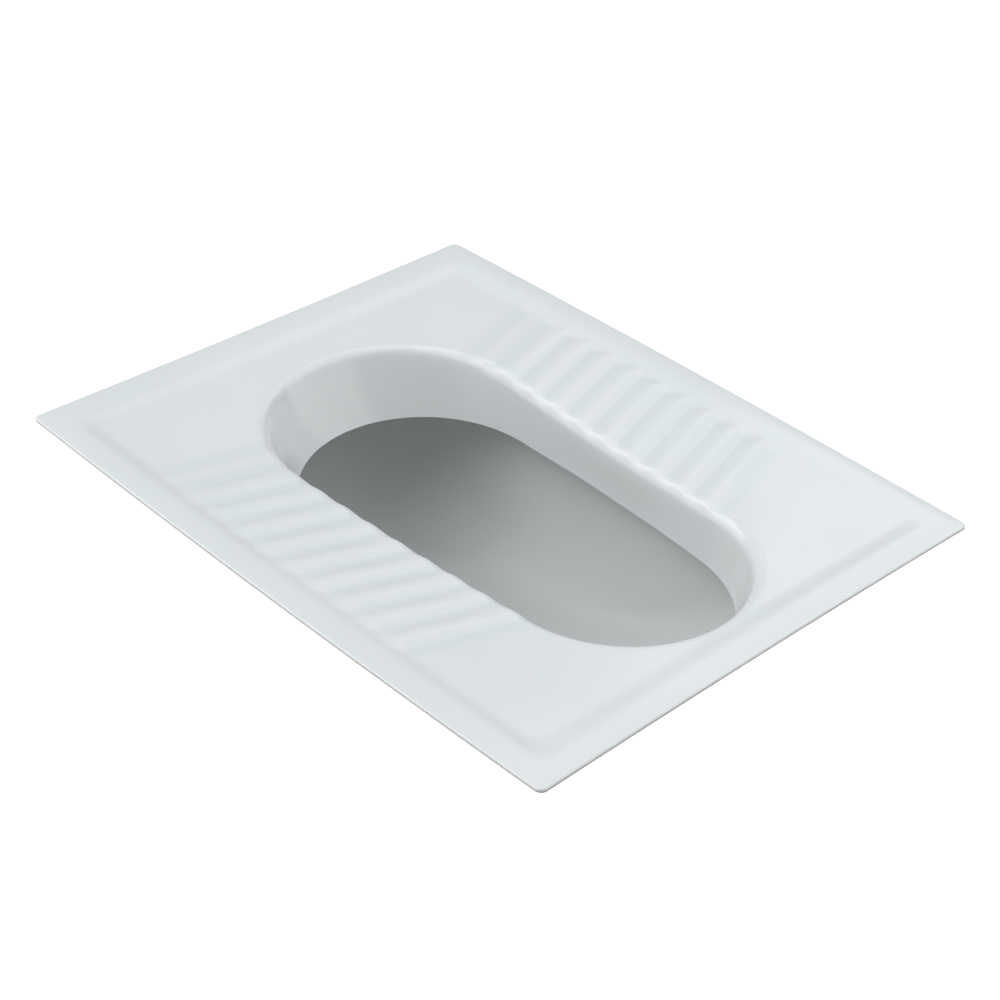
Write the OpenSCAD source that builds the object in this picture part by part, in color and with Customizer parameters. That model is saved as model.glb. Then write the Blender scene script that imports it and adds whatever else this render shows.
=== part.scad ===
// Flush-set squat pan of glazed vitreous china, in millimetres.
// The origin is the centre of the deck, on the plane where its border rests on the slab.
// +Z is up, +Y points to the rear, which is the wide end with the outlet and the flush inlet.

/* [Deck] */
// Width of the deck at its corners
deck_w = 470; // [460:2:500]
// Length of the deck
deck_l = 600; // [594:2:640]
// Height of the deck border above its seat
deck_t = 14; // [13:0.5:18]
// Radius of the four deck corners
deck_corner_r = 9; // [4:1:14]
// How far each long side bows outwards at its middle
side_bow = 3.5; // [0:0.5:6]
// How far each short side draws in at its middle
end_pinch = 2; // [0:0.5:4]
// Width of the border ring that rests on the slab
seat_w = 13; // [8:1:14]
// How far the underside inside that ring is raised
seat_lip = 2; // [1:0.5:3]

/* [Recessed panel] */
// Depth of the panel below the border
panel_depth = 4; // [3:0.5:6]
// Width of the flat border at the sides
border_side = 19; // [16:1:22]
// Width of the flat border at the rear
border_rear = 24; // [18:1:28]
// Width of the flat border at the front
border_front = 21; // [17:1:22]
// Width of the sloping step between border and panel
step_w = 16; // [10:1:18]
// Corner radius of the panel
panel_corner_r = 12; // [8:1:20]

/* [Foot treads] */
// Number of tread ribs on each side
tread_count = 10; // [5:1:12]
// Distance from one rib to the next
tread_pitch = 29.8; // [26:0.2:32]
// Height of a rib above the panel
tread_h = 3; // [2:0.25:4]
// Width of a rib where it meets the panel
tread_w = 20; // [14:1:24]
// Slant of the ribs, whose outer ends lie further to the rear
tread_slant = 17; // [0:1:25]
// Middle of the row of ribs along the deck, at their outer ends
tread_mid_y = 20; // [0:1:30]
// How far the ribs' outer ends run into the foot of the step
tread_reach = 5; // [0:1:6]

/* [Opening] */
// Radius of the opening at the rear
mouth_r_rear = 112; // [107:1:114]
// Radius of the opening at the front
mouth_r_front = 99; // [94:1:101]
// Distance from the deck's rear edge to the opening
mouth_inset_rear = 80; // [78:1:84]
// Distance from the deck's front edge to the opening
mouth_inset_front = 49; // [48:1:54]
// Radius of the rolled lip
lip_r = 12; // [8:1:13]
// Wall of the lip and of the band that hangs below it
band_t = 9; // [7:0.5:10]
// Width of the shoulder on which the deck rests round its hole
shoulder_w = 5; // [3:0.5:6]
// Depth of the band's lower edge below the deck border
band_depth = 57; // [52:1:62]
// How far the band draws in from the opening at its widest
band_draw_wide = 4; // [2:1:10]
// How far the band draws in from the opening at its narrowest
band_draw_narrow = 1; // [0:1:8]
// How far the band draws in from the opening's rear end
band_draw_rear = 37; // [30:1:44]
// How far the band draws in from the opening's front end
band_draw_front = 13; // [9:1:20]

/* [Flush rim] */
// Reach of the flush rim beyond the opening at the rear
rim_reach_rear = 32; // [30:1:35]
// Reach of the flush rim beyond the opening at the front
rim_reach_front = 30; // [28:1:32]
// Wall of the flush rim
rim_wall = 8; // [6:0.5:9]
// Floor of the flush rim
rim_floor = 7; // [5:0.5:9]
// How far the band's drip edge hangs below the rim floor
drip_edge = 2; // [1:0.5:4]
// Radius of a flush jet
jet_r = 3; // [2:0.25:3.5]
// Number of jets round the rear arc
jets_rear = 9; // [5:2:11]
// Number of jets along each side
jets_side = 6; // [3:1:8]
// Number of jets round the front arc
jets_front = 5; // [3:2:7]

/* [Bowl] */
// Depth of the bowl's lowest point below the deck border
bowl_depth = 180; // [176:2:200]
// Wall of the bowl
bowl_t = 10; // [8:1:12]
// Distance from the deck's rear edge to the outlet's centre
outlet_inset = 205; // [200:1:212]

/* [Outlet] */
// Inner radius of the outlet
outlet_bore_r = 43; // [40:1:45]
// Outer radius of the spigot that enters the soil pipe
spigot_r = 51; // [50:0.5:52]
// Outer radius of the spigot under its rubber seal
seal_seat_r = 53; // [52.5:0.5:54]
// Outer radius of the spigot's collar under the bowl
collar_r = 57; // [56:0.5:60]
// Height of the collar
collar_h = 8; // [6:1:12]
// Height of the seal's seat below the collar
seal_seat_h = 18; // [16:1:22]
// Height of the free end of the spigot
spigot_h = 26; // [22:1:32]
// Chamfer on the end of the spigot
spigot_chamfer = 2; // [1:0.5:3]
// Outer radius of the outlet seal's body
seal_body_r = 56; // [55.5:0.5:57]
// Clear ends of the seal's seat above and below the seal
seal_end = 1; // [0.5:0.5:2]
// How far the outlet seal's lips stand out
seal_lip = 1.5; // [1:0.5:2]
// Number of lips on the outlet seal
seal_lips = 3; // [2:1:4]

/* [Flush inlet] */
// Reach of the rim's flat boss, which the waterway lies on, beyond the rim
boss_reach = 2; // [1.5:0.5:4]
// Reach of the waterway beyond the horn on each side
waterway_side = 8; // [6:1:12]
// Depth of the waterway from front to back
waterway_d = 22; // [20:1:26]
// Reach of the waterway below the horn
waterway_foot = 2; // [1:1:8]
// Wall of the waterway
waterway_wall = 7; // [6:0.5:8]
// Width of the window from the waterway into the rim
window_w = 56; // [40:2:56]
// Height of the window
window_h = 26; // [20:1:28]
// Radius of the hole from the horn into the waterway
horn_throat_r = 15; // [12:0.5:15]
// Outer radius of the inlet horn
horn_r = 30; // [29:0.5:31]
// Length of the inlet horn
horn_len = 24; // [23:1:30]
// Inner radius of the horn's socket
socket_r = 23; // [22:0.5:24]
// Depth of the horn's socket
socket_d = 19; // [16:1:22]
// Gap between the horn and the plane of the deck's seat
horn_gap = 3; // [2.5:0.5:6]
// Radius of the flush pipe that the inlet seal takes
flush_pipe_r = 16; // [15:0.5:18]
// Thickness of the inlet seal's outer flange
inlet_flange_t = 4; // [3:0.5:6]
// How far the inlet seal's flange reaches over the horn's end
inlet_flange_w = 4; // [2:0.5:5]
// Width of the flow splitter across the channel
splitter_w = 20; // [12:1:24]
// Length of the flow splitter from front to back
splitter_l = 22; // [16:1:26]

/* [Webs and feet] */
// Thickness of a web under the deck
web_t = 12; // [8:1:16]
// Height of a web beside the rim
web_h = 70; // [50:2:80]
// Height of a web at its outer end
web_tip_h = 14; // [8:1:20]
// Distance from the deck's side to a web's outer end
web_inset = 35; // [23:1:45]
// Distance from the deck's rear edge to the rear webs
web_inset_rear = 240; // [210:2:250]
// Distance from the deck's front edge to the front webs
web_inset_front = 190; // [170:2:210]
// Width of the front foot
front_foot_w = 120; // [100:2:140]
// Length of the front foot
front_foot_l = 60; // [50:2:80]
// Distance from the deck's front edge to the front foot's middle
front_foot_inset = 130; // [120:2:150]
// Wall of the front foot
front_foot_wall = 12; // [10:1:14]
// Reach of a rear foot beyond the opening's rear radius
rear_foot_reach = 5; // [-3:1:9]
// Width of a rear foot
rear_foot_w = 44; // [36:1:48]
// Thickness of a rear foot
rear_foot_t = 18; // [14:1:24]

/* [Fits] */
// Gap that the luting slip fills where a cast piece meets a curved one
lute_gap = 0.3; // [0.2:0.05:0.4]
// Clearance between a rubber seal and what carries it
seal_gap = 0.2; // [0.1:0.05:0.3]

/* [Hidden] */
$fn = 96;

china = [0.87, 0.89, 0.91];
china_rim = [0.80, 0.82, 0.83];
china_bowl = [0.62, 0.64, 0.64];
raw_china = [0.88, 0.86, 0.82];
rubber = [0.16, 0.16, 0.17];

// A cut runs this far past the face that it opens
over = 1;
// Segments of each half turn of an egg-shaped outline, and of each of its straight sides
arc_steps = 24;
side_steps = 4;
// Segments of each side and each corner of the deck's outline
edge_steps = 12;
corner_steps = 5;
// Segments of the lip's roll, and the turn that they cover from the upright wall
roll_steps = 7;
roll_turn = 75;
// Rings down the wall of the bowl
bowl_steps = 12;

mouth_y_rear = deck_l / 2 - mouth_inset_rear - mouth_r_rear;
mouth_y_front = mouth_inset_front + mouth_r_front - deck_l / 2;
mouth_lean = lean(mouth_r_rear, mouth_r_front, mouth_y_rear, mouth_y_front);
drip_r_rear = mouth_r_rear - band_draw_wide;
drip_r_front = mouth_r_front - band_draw_narrow;
drip_y_rear = mouth_y_rear + mouth_r_rear - band_draw_rear - drip_r_rear;
drip_y_front = mouth_y_front - mouth_r_front + band_draw_front + drip_r_front;
outlet_y = deck_l / 2 - outlet_inset;
web_reach = deck_w / 2 - web_inset;
web_rear_y = deck_l / 2 - web_inset_rear;
web_front_y = web_inset_front - deck_l / 2;
front_foot_y = front_foot_inset - deck_l / 2;

panel_z = deck_t - panel_depth;
band_z = deck_t - band_depth;
roll_z = panel_z - lip_r * sin(roll_turn);
lip_run = lip_r * (1 - cos(roll_turn));
haunch_w = lip_run + shoulder_w;
rim_z = band_z + drip_edge;
channel_z = rim_z + rim_floor;
bowl_z = deck_t - bowl_depth;
bowl_base_z = bowl_z - bowl_t;
seat_z = bowl_base_z - collar_h;
spigot_z = seat_z - seal_seat_h;
base_z = spigot_z - spigot_h;
inlet_z = -horn_gap - horn_r;
waterway_w = 2 * (horn_r + waterway_side);
waterway_h = seat_lip - inlet_z + horn_r + waterway_foot;
rim_rear_y = mouth_y_rear + mouth_r_rear + rim_reach_rear;
boss_y = rim_rear_y + boss_reach;
horn_y = boss_y + waterway_d;

// Lean of the straight sides of an egg-shaped outline
function lean(r_rear, r_front, y_rear, y_front) =
    y_rear - y_front < over ? 0 : asin((r_rear - r_front) / (y_rear - y_front));

// A point part of the way from one point to another
function between(a, b, share) = a + (b - a) * share;

// Points of an arc about a centre on the deck's middle line
function arc(r, y, from, to) =
    [for (i = [0 : arc_steps]) let (t = between(from, to, i / arc_steps)) [r * cos(t), y + r * sin(t)]];

// Points of an egg-shaped outline: rear arc, left side, front arc, right side
function egg(r_rear, r_front, y_rear, y_front) =
    let (
        a = lean(r_rear, r_front, y_rear, y_front),
        rear = arc(r_rear, y_rear, -a, 180 + a),
        front = arc(r_front, y_front, 180 + a, 360 - a)
    )
    concat(
        rear,
        [for (i = [1 : side_steps - 1]) between(rear[arc_steps], front[0], i / side_steps)],
        front,
        [for (i = [1 : side_steps - 1]) between(front[arc_steps], rear[0], i / side_steps)]
    );

// The opening's outline, the band's lower edge and the rim's outside, each grown by an offset
function mouth(grow) = egg(mouth_r_rear + grow, mouth_r_front + grow, mouth_y_rear, mouth_y_front);
function drip(grow) = egg(drip_r_rear + grow, drip_r_front + grow, drip_y_rear, drip_y_front);

// Lifts a flat outline to a height
function at_z(outline, z) = [for (p = outline) [p[0], p[1], z]];

// Points of a rounded rectangle, given its two ends along Y
function round_rect(w, y_front, y_rear, r) =
    let (
        x = w / 2 - r,
        corners = [[x, y_rear - r, 0], [-x, y_rear - r, 90], [-x, y_front + r, 180], [x, y_front + r, 270]],
        turned = [for (c = corners) [for (i = [0 : corner_steps])
            let (t = c[2] + 90 * i / corner_steps) [c[0] + r * cos(t), c[1] + r * sin(t)]]]
    )
    [for (k = [0 : 3]) each concat(
        turned[k],
        [for (i = [1 : edge_steps - 1])
            between(turned[k][corner_steps], turned[(k + 1) % 4][0], i / edge_steps)]
    )];

// The slight bow of the long sides and pinch of the short ones, which firing leaves
function bowed(p) = [
    p[0] * (1 + 2 * side_bow / deck_w * (1 - pow(2 * p[1] / deck_l, 2))),
    p[1] * (1 - 2 * end_pinch / deck_l * (1 - pow(2 * p[0] / deck_w, 2)))
];
function bow_all(outline) = [for (p = outline) bowed(p)];

// Outline of the deck drawn in by an inset
function deck_outline(inset) =
    bow_all(round_rect(deck_w - 2 * inset, inset - deck_l / 2, deck_l / 2 - inset, deck_corner_r));

// Outline of the recessed panel, drawn in from the border's inner edge by an inset
function panel_outline(inset) =
    bow_all(round_rect(
        deck_w - 2 * (border_side + inset),
        border_front + inset - deck_l / 2,
        deck_l / 2 - border_rear - inset,
        panel_corner_r
    ));

// A closed solid through rings of points, from its lowest ring to its highest
module skin(rings) {
    n = len(rings[0]);
    last = len(rings) - 1;
    polyhedron(
        points = [for (ring = rings) each ring],
        faces = concat(
            [[for (i = [0 : n - 1]) i]],
            [for (k = [0 : last - 1]) for (i = [0 : n - 1])
                [k * n + i, (k + 1) * n + i, (k + 1) * n + (i + 1) % n, k * n + (i + 1) % n]],
            [[for (i = [n - 1 : -1 : 0]) last * n + i]]
        ),
        convexity = 6
    );
}

// A closed wall through rings that go up its inside and down its outside
module wall(rings) {
    n = len(rings[0]);
    m = len(rings);
    polyhedron(
        points = [for (ring = rings) each ring],
        faces = [for (k = [0 : m - 1]) for (i = [0 : n - 1])
            [k * n + i, k * n + (i + 1) % n, ((k + 1) % m) * n + (i + 1) % n, ((k + 1) % m) * n + i]],
        convexity = 10
    );
}

// A true egg-shaped prism, with round ends that stay round
module egg_prism(r_rear, r_front, y_rear, y_front, z, h) {
    a = lean(r_rear, r_front, y_rear, y_front);
    translate([0, 0, z])
        linear_extrude(h)
            union() {
                translate([0, y_rear])
                    circle(r_rear);
                translate([0, y_front])
                    circle(r_front);
                polygon([
                    [r_rear * cos(a), y_rear - r_rear * sin(a)],
                    [-r_rear * cos(a), y_rear - r_rear * sin(a)],
                    [-r_front * cos(a), y_front - r_front * sin(a)],
                    [r_front * cos(a), y_front - r_front * sin(a)]
                ]);
            }
}

// The outside of the band, and the haunch that joins it to the deck, grown by an offset
module band_blank(grow, top_z) {
    skin([
        at_z(drip(band_t + grow), band_z - grow),
        at_z(mouth(band_t + grow), roll_z),
        at_z(mouth(haunch_w + grow), seat_lip),
        at_z(mouth(haunch_w + grow), top_z)
    ]);
}

// One round-backed rib, sunk so that its cap stands tread_h above the panel
module tread(y) {
    cap_r = (pow(tread_w / 2, 2) + pow(tread_h, 2)) / (2 * tread_h);
    outer_x = deck_w / 2 - border_side - step_w + tread_reach - tread_w / 2;
    rib_len = (outer_x - mouth_r_front) / cos(tread_slant);
    translate([outer_x, y, panel_z + tread_h - cap_r])
        rotate([0, 0, 180 + tread_slant]) {
            sphere(cap_r);
            rotate([0, 90, 0])
                cylinder(h = rib_len, r = cap_r);
        }
}

module treads() {
    intersection() {
        union()
            for (i = [0 : tread_count - 1]) {
                y = tread_mid_y + (i - (tread_count - 1) / 2) * tread_pitch;
                tread(y);
                mirror([1, 0, 0])
                    tread(y);
            }
        translate([-deck_w / 2, -deck_l / 2, panel_z - over])
            cube([deck_w, deck_l, panel_depth + over]);
    }
}

// Deck with its border, recessed panel and treads, and the hole that the lip fills
module deck() {
    color(china)
        difference() {
            union() {
                difference() {
                    linear_extrude(deck_t)
                        polygon(deck_outline(0));
                    skin([
                        at_z(panel_outline(step_w), panel_z),
                        at_z(panel_outline(0), deck_t),
                        at_z(panel_outline(0), deck_t + over)
                    ]);
                    translate([0, 0, -over])
                        linear_extrude(seat_lip + over)
                            polygon(deck_outline(seat_w));
                }
                treads();
            }
            linear_extrude(deck_t + over)
                polygon(mouth(lip_run));
        }
}

// Rolled lip that fills the deck's hole and carries it on a shoulder
module rolled_lip() {
    color(china)
        wall(concat(
            [for (i = [0 : roll_steps])
                let (t = roll_turn * i / roll_steps)
                at_z(mouth(lip_r * (1 - cos(t))), roll_z + lip_r * sin(t))],
            [
                at_z(mouth(lip_run), seat_lip),
                at_z(mouth(haunch_w), seat_lip),
                at_z(mouth(band_t), roll_z)
            ]
        ));
}

// Band that hangs below the lip and slopes inwards to its drip edge
module inner_band() {
    color(china)
        wall([
            at_z(drip(0), band_z),
            at_z(mouth(0), roll_z),
            at_z(mouth(band_t), roll_z),
            at_z(drip(band_t), band_z)
        ]);
}

// Holes in the rim floor, in a row close outside the band
module jets() {
    jet_grow = band_t + 2 * jet_r;
    for (i = [0 : jets_rear - 1]) {
        t = between(-mouth_lean, 180 + mouth_lean, (i + 0.5) / jets_rear);
        r = mouth_r_rear + jet_grow;
        translate([r * cos(t), mouth_y_rear + r * sin(t), rim_z - over])
            cylinder(h = rim_floor + 2 * over, r = jet_r);
    }
    for (i = [0 : jets_front - 1]) {
        t = between(180 + mouth_lean, 360 - mouth_lean, (i + 0.5) / jets_front);
        r = mouth_r_front + jet_grow;
        translate([r * cos(t), mouth_y_front + r * sin(t), rim_z - over])
            cylinder(h = rim_floor + 2 * over, r = jet_r);
    }
    for (i = [0 : jets_side - 1])
        for (side = [-1, 1]) {
            share = (i + 0.5) / jets_side;
            x = between(mouth_r_rear, mouth_r_front, share) + jet_grow;
            translate([side * x, between(mouth_y_rear, mouth_y_front, share), rim_z - over])
                cylinder(h = rim_floor + 2 * over, r = jet_r);
        }
}

// Box-section flush rim: outer wall and perforated floor, closed above by the deck and inside by the band
module flush_rim() {
    color(china_rim)
        difference() {
            union() {
                egg_prism(mouth_r_rear + rim_reach_rear, mouth_r_front + rim_reach_front,
                    mouth_y_rear, mouth_y_front, rim_z, seat_lip - rim_z);
                translate([-waterway_w / 2, rim_rear_y - rim_wall, rim_z])
                    cube([waterway_w, rim_wall + boss_reach, seat_lip - rim_z]);
            }
            egg_prism(mouth_r_rear + rim_reach_rear - rim_wall, mouth_r_front + rim_reach_front - rim_wall,
                mouth_y_rear, mouth_y_front, channel_z, seat_lip - channel_z + over);
            band_blank(lute_gap, seat_lip + over);
            jets();
            translate([-window_w / 2, boss_y - waterway_d, (channel_z + seat_lip - window_h) / 2])
                cube([window_w, waterway_d + over, window_h]);
        }
}

// Wedge that turns the flush to both sides as it enters the rim
module flow_splitter() {
    front_y = rim_rear_y - rim_wall - splitter_l - over;
    color(china_rim)
        difference() {
            translate([0, 0, channel_z])
                linear_extrude(seat_lip - channel_z)
                    polygon([
                        [-splitter_w / 2, front_y],
                        [splitter_w / 2, front_y],
                        [0, front_y + splitter_l]
                    ]);
            band_blank(lute_gap, seat_lip + over);
        }
}

// Ring of the bowl's wall, from its top at 0 to the outlet at 1, grown outwards and downwards
function bowl_ring(share, grow) =
    let (
        turn = 90 * share,
        inwards = 1 - cos(turn),
        top_rear = mouth_r_rear + rim_reach_rear - bowl_t,
        top_front = mouth_r_front + rim_reach_front - bowl_t
    )
    at_z(
        egg(
            between(top_rear, outlet_bore_r, inwards) + grow,
            between(top_front, outlet_bore_r, inwards) + grow,
            between(mouth_y_rear, outlet_y, inwards),
            between(mouth_y_front, outlet_y, inwards)
        ),
        between(rim_z, bowl_z, sin(turn))
    );

// The same ring lowered to the outside of the bowl
function bowl_back(share, grow) =
    let (ring = bowl_ring(share, grow), fall = (grow - bowl_t) + bowl_t * sin(90 * share))
    [for (p = ring) [p[0], p[1], p[2] - fall]];

// The whole space of the bowl, with its inside, grown by an offset
module bowl_space(grow) {
    skin(concat(
        [at_z(bowl_ring(1, collar_r - outlet_bore_r + grow), bowl_base_z - grow)],
        [for (i = [bowl_steps - 1 : -1 : 0]) bowl_back(i / bowl_steps, bowl_t + grow)],
        [at_z(bowl_ring(0, bowl_t + grow), rim_z + over)]
    ));
}

// Bowl from the underside of the rim down to the outlet
module bowl() {
    color(china_bowl)
        wall(concat(
            [at_z(bowl_ring(1, 0), bowl_base_z)],
            [for (i = [bowl_steps : -1 : 0]) bowl_ring(i / bowl_steps, 0)],
            [for (i = [0 : bowl_steps - 1]) bowl_back(i / bowl_steps, bowl_t)],
            [at_z(bowl_ring(1, collar_r - outlet_bore_r), bowl_base_z)]
        ));
}

// Outlet spigot luted under the bowl: collar, seat of the seal and free end
module outlet_spigot() {
    color(china_rim)
        translate([0, outlet_y, 0])
            difference() {
                union() {
                    translate([0, 0, seat_z])
                        cylinder(h = collar_h, r = collar_r);
                    translate([0, 0, spigot_z])
                        cylinder(h = seal_seat_h, r = seal_seat_r);
                    translate([0, 0, base_z + spigot_chamfer])
                        cylinder(h = spigot_h - spigot_chamfer, r = spigot_r);
                    translate([0, 0, base_z])
                        cylinder(h = spigot_chamfer, r1 = spigot_r - spigot_chamfer, r2 = spigot_r);
                }
                translate([0, 0, base_z - over])
                    cylinder(h = bowl_base_z - base_z + 2 * over, r = outlet_bore_r);
            }
}

// Rubber ring on the spigot, with lips that grip the soil pipe's socket
module outlet_seal() {
    seal_h = seal_seat_h - 2 * seal_end;
    lip_pitch = seal_h / seal_lips;
    color(rubber)
        translate([0, outlet_y, spigot_z + seal_end])
            difference() {
                union() {
                    cylinder(h = seal_h, r = seal_body_r);
                    for (i = [0 : seal_lips - 1])
                        translate([0, 0, i * lip_pitch])
                            cylinder(h = lip_pitch / 2, r1 = seal_body_r, r2 = seal_body_r + seal_lip);
                }
                translate([0, 0, -over])
                    cylinder(h = seal_h + 2 * over, r = seal_seat_r + seal_gap);
            }
}

// Waterway box behind the rim, which carries the flush up from the horn to the window
module rear_waterway() {
    color(raw_china)
        difference() {
            translate([-waterway_w / 2, boss_y, seat_lip - waterway_h])
                cube([waterway_w, waterway_d, waterway_h]);
            translate([-window_w / 2, boss_y - over, seat_lip - waterway_h + waterway_wall])
                cube([window_w, waterway_d - waterway_wall + over, waterway_h - 2 * waterway_wall]);
            translate([0, boss_y, inlet_z])
                rotate([-90, 0, 0])
                    cylinder(h = waterway_d + over, r = horn_throat_r);
        }
}

// Horn on the back of the waterway, with the socket that takes the inlet seal
module inlet_horn() {
    color(raw_china)
        translate([0, horn_y, inlet_z])
            rotate([-90, 0, 0])
                difference() {
                    cylinder(h = horn_len, r = horn_r);
                    translate([0, 0, -over])
                        cylinder(h = horn_len + 2 * over, r = horn_throat_r);
                    translate([0, 0, horn_len - socket_d])
                        cylinder(h = socket_d + over, r = socket_r);
                }
}

// Rubber sleeve in the horn's socket, with a flange over the horn's end
module inlet_seal() {
    color(rubber)
        translate([0, horn_y + horn_len, inlet_z])
            rotate([-90, 0, 0])
                difference() {
                    union() {
                        translate([0, 0, -socket_d + seal_gap])
                            cylinder(h = socket_d, r = socket_r - seal_gap);
                        translate([0, 0, seal_gap])
                            cylinder(h = inlet_flange_t, r = socket_r + inlet_flange_w);
                    }
                    translate([0, 0, -socket_d - over])
                        cylinder(h = socket_d + inlet_flange_t + 2 * over, r = flush_pipe_r);
                }
}

// Upright web from the rim's outer wall to the deck's underside, on the side given by its sign
module deck_web(side, y) {
    color(raw_china)
        difference() {
            mirror([side < 0 ? 1 : 0, 0, 0])
                translate([0, y + web_t / 2, 0])
                    rotate([90, 0, 0])
                        linear_extrude(web_t)
                            polygon([
                                [0, seat_lip],
                                [web_reach, seat_lip],
                                [web_reach, seat_lip - web_tip_h],
                                [mouth_r_front + rim_reach_front, seat_lip - web_h],
                                [0, seat_lip - web_h]
                            ]);
            egg_prism(mouth_r_rear + rim_reach_rear + lute_gap, mouth_r_front + rim_reach_front + lute_gap,
                mouth_y_rear, mouth_y_front, rim_z - over, seat_lip - rim_z + 2 * over);
            bowl_space(lute_gap);
        }
}
module deck_web_left_front() {
    deck_web(-1, web_front_y);
}
module deck_web_left_rear() {
    deck_web(-1, web_rear_y);
}
module deck_web_right_front() {
    deck_web(1, web_front_y);
}
module deck_web_right_rear() {
    deck_web(1, web_rear_y);
}

// Hollow foot under the shallow front of the bowl, open below
module front_foot() {
    color(raw_china)
        translate([0, front_foot_y, base_z])
            difference() {
                translate([-front_foot_w / 2, -front_foot_l / 2, 0])
                    cube([front_foot_w, front_foot_l, rim_z - base_z]);
                translate([front_foot_wall - front_foot_w / 2, front_foot_wall - front_foot_l / 2, -over])
                    cube([
                        front_foot_w - 2 * front_foot_wall,
                        front_foot_l - 2 * front_foot_wall,
                        rim_z - base_z + 2 * over
                    ]);
                translate([0, -front_foot_y, -base_z])
                    bowl_space(lute_gap);
            }
}

// Leg beside the outlet, on the side given by its sign
module rear_foot(side) {
    mid_x = side * (mouth_r_rear + rear_foot_reach - rear_foot_w / 2);
    color(raw_china)
        difference() {
            translate([mid_x - rear_foot_w / 2, outlet_y - rear_foot_t / 2, base_z])
                cube([rear_foot_w, rear_foot_t, rim_z - base_z]);
            bowl_space(lute_gap);
        }
}
module rear_foot_left() {
    rear_foot(-1);
}
module rear_foot_right() {
    rear_foot(1);
}

deck();
rolled_lip();
inner_band();
flush_rim();
flow_splitter();
bowl();
outlet_spigot();
outlet_seal();
rear_waterway();
inlet_horn();
inlet_seal();
deck_web_left_front();
deck_web_left_rear();
deck_web_right_front();
deck_web_right_rear();
front_foot();
rear_foot_left();
rear_foot_right();
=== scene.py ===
"""A flush-set squat pan of glazed vitreous china, dressed in the frame of its CAD model.

All lengths are in metres. z = 0 is the plane on which the deck's border rests, +Y is the rear.
"""
import math
from collections import namedtuple

import bmesh
import bpy
from mathutils import Matrix, Vector


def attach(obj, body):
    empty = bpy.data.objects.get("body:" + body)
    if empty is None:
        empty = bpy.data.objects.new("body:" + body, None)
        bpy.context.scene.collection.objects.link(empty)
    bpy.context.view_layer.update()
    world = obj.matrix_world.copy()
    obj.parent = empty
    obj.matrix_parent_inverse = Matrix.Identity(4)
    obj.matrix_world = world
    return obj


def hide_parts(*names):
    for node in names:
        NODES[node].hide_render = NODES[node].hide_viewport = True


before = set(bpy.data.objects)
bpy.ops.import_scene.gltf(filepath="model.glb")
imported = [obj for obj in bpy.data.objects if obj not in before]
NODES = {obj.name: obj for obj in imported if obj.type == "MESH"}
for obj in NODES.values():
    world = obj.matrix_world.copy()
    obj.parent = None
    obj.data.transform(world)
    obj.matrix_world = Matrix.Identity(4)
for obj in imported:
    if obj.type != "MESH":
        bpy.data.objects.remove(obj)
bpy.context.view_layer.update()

# ------------------------------------------------------------------ sizes of the china

# Deck: a flat border, a soft step and a recessed panel
DECK_W = 0.470
DECK_L = 0.5999          # a hair under the nominal 600 mm, which keeps the corners in the CAD's box
DECK_T = 0.014
DECK_CORNER = 0.006
SIDE_BOW = 0.0035
END_PINCH = 0.002
EDGE_ROUND = 0.0014
EDGE_RINGS = 4
SEAT_W = 0.013
SEAT_LIP = 0.002
PANEL_Z = 0.010
BORDER_SIDE = 0.019
BORDER_REAR = 0.024
BORDER_FRONT = 0.021
PANEL_CORNER = 0.012
STEP_W = 0.019
STEP_RINGS = 9
STEP_FOOT = 0.0025       # how far up the step the ribs run out
PANEL_CUTS = 36
LEVEL_FALL = 0.0001      # what looks level on fired china still falls by this much

# Opening, an egg of two circles, and the lip and band that turn down into it
Egg = namedtuple("Egg", "r_rear r_front y_rear y_front")
MOUTH = Egg(0.1135, 0.1005, 0.1065, -0.1505)
DRIP = Egg(0.108, 0.098, 0.075, -0.140)
LIP_R = 0.012
LIP_RINGS = 9
LIP_TURN = math.radians(80)
BAND_FALL = 0.053
BAND_RINGS = 9
BAND_T = 0.009
HAUNCH_W = 0.0139
HAUNCH_Z = -0.0016
BAND_Z = -0.043
BAND_DRAWS = Egg(0.0055, 0.0025, 0.037, 0.013)

# Foot treads: slanted round-backed ribs on both sides
TREADS = 10
TREAD_PITCH = 0.0298
TREAD_MID_Y = 0.0214      # middle of a row, at its ribs' outer ends
TREAD_FRONT_Y = TREAD_MID_Y - TREAD_PITCH * (TREADS - 1) / 2
TREAD_OUTER_X = 0.198
TREAD_H = 0.0020
TREAD_LIP_SHARE = 0.75    # share of the height that is left at the lip
TREAD_RISE = 0.035
TREAD_SLANT = math.radians(15.5)
FAINT_SHARE = 0.5         # share of the height that is left at the rear end of a row
FAINT_FROM_Y = 0.110
FAINT_TO_Y = 0.150

# The panel sags a little towards both sides of the opening
DISH_DEPTH = 0.005
DISH_Y = -0.050
DISH_REACH = 0.250
DISH_IN_X = 0.115
DISH_OUT_X = 0.200

# The band's sides belly out a little towards the drip edge
BELLY = 0.0035
BELLY_Y = -0.045
BELLY_FLAT = 0.030
BELLY_REACH = 0.135

# Bowl and rim
RIM = Egg(0.144, 0.129, 0.108, -0.152)
RIM_WALL = 0.008
RIM_Z = -0.041
CHANNEL_Z = -0.034
BAND_TOP = Egg(0.112, 0.099, 0.108, -0.152)
JET_R = 0.003
JETS_REAR = 9
JETS_SIDE = 6
JETS_FRONT = 5
JET_STEPS = 16
BOWL_Z = -0.166
BOWL_T = 0.010
BOWL_RINGS = 24
OUTLET_Y = 0.095
OUTLET_BORE_R = 0.043
OUTLET_ROUND = 0.004
THROAT_RINGS = 3

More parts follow.
